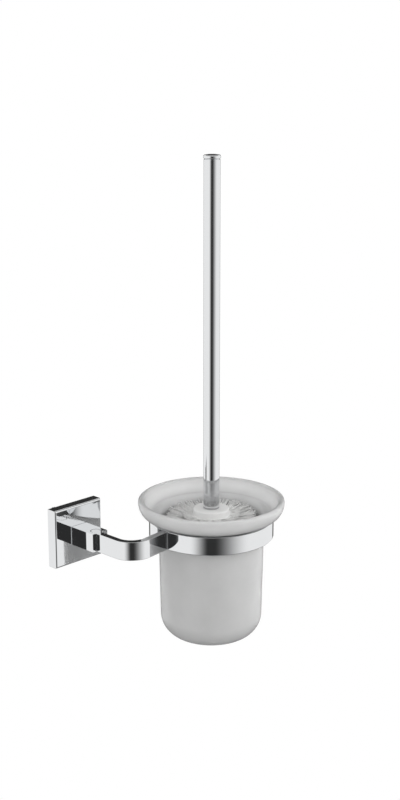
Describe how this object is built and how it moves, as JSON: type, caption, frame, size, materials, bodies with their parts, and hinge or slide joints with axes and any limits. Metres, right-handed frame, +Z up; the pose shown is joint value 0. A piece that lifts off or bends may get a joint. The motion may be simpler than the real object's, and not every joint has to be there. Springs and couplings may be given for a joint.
{
  "type": "wall-mounted toilet brush holder",
  "caption": "Wall-mounted toilet brush holder: square chrome wall fixing, bent flat arm and ring, frosted glass cup, and a brush with a long tubular handle.",
  "frame": {"origin": "centre of the wall bracket's back face, on the wall", "axes": "+Z up, +X along the wall towards the cup's side, +Y into the wall; the holder stands out towards -Y"},
  "size_m": [0.1649, 0.1486, 0.3762],
  "materials": {
    "chrome": "polished chrome plate",
    "handle_chrome": "polished chrome plate on a drawn tube",
    "cast_zinc": "bare zinc casting",
    "screw_steel": "zinc-plated steel",
    "brass": "machined brass",
    "clear_plastic": "soft translucent plastic",
    "frosted_glass": "acid-frosted glass",
    "white_plastic": "moulded white plastic",
    "grey_rubber": "soft grey rubber",
    "nylon_bristle": "white nylon bristles"
  },
  "bodies": {
    "holder": {"wall_bracket": "cast_zinc", "wall_screw_upper": "screw_steel", "wall_screw_lower": "screw_steel", "wall_cover": "chrome", "cover_grub_screw": "screw_steel", "post": "chrome", "post_bolt": "screw_steel", "post_washer": "screw_steel", "strap_set_screw": "screw_steel", "arm_strap": "chrome", "cup_ring": "chrome"},
    "seat": {"ring_gasket": "clear_plastic"},
    "cup": {"glass_cup": "frosted_glass"},
    "brush": {"brush_hub": "white_plastic", "hub_insert": "brass", "bristle_row_1": "nylon_bristle", "bristle_row_2": "nylon_bristle", "bristle_row_3": "nylon_bristle", "bristle_row_4": "nylon_bristle", "bristle_row_5": "nylon_bristle", "bristle_row_6": "nylon_bristle", "bristle_row_7": "nylon_bristle", "bristle_tip": "nylon_bristle"},
    "washer": {"foot_washer": "grey_rubber"},
    "handle": {"handle_tube": "handle_chrome", "handle_cap": "handle_chrome", "handle_plug": "brass", "joining_stud": "screw_steel"}
  },
  "joints": [
    {"name": "cup_spin", "type": "hinge", "parent": "holder", "child": "seat", "pos_m": [0.0849, -0.0683, 0], "axis": [0, 0, 1], "continuous": true},
    {"name": "cup_lift", "type": "slide", "parent": "seat", "child": "cup", "axis": [0, 0, 1], "range_m": [0, 0.105]},
    {"name": "brush_lift", "type": "slide", "parent": "cup", "child": "brush", "axis": [0, 0, 1], "range_m": [0, 0.115]},
    {"name": "handle_rise", "type": "slide", "parent": "brush", "child": "washer", "axis": [0, 0, 1], "range_m": [0, 0.0105]},
    {"name": "handle_unscrew", "type": "hinge", "parent": "washer", "child": "handle", "pos_m": [0.0849, -0.0683, 0.0155], "axis": [0, 0, 1], "range_deg": [0, 2520]}
  ],
  "couplings": [
    {"joint": "handle_unscrew", "follows": "handle_rise", "rad_per_m": 4188.8}
  ]
}
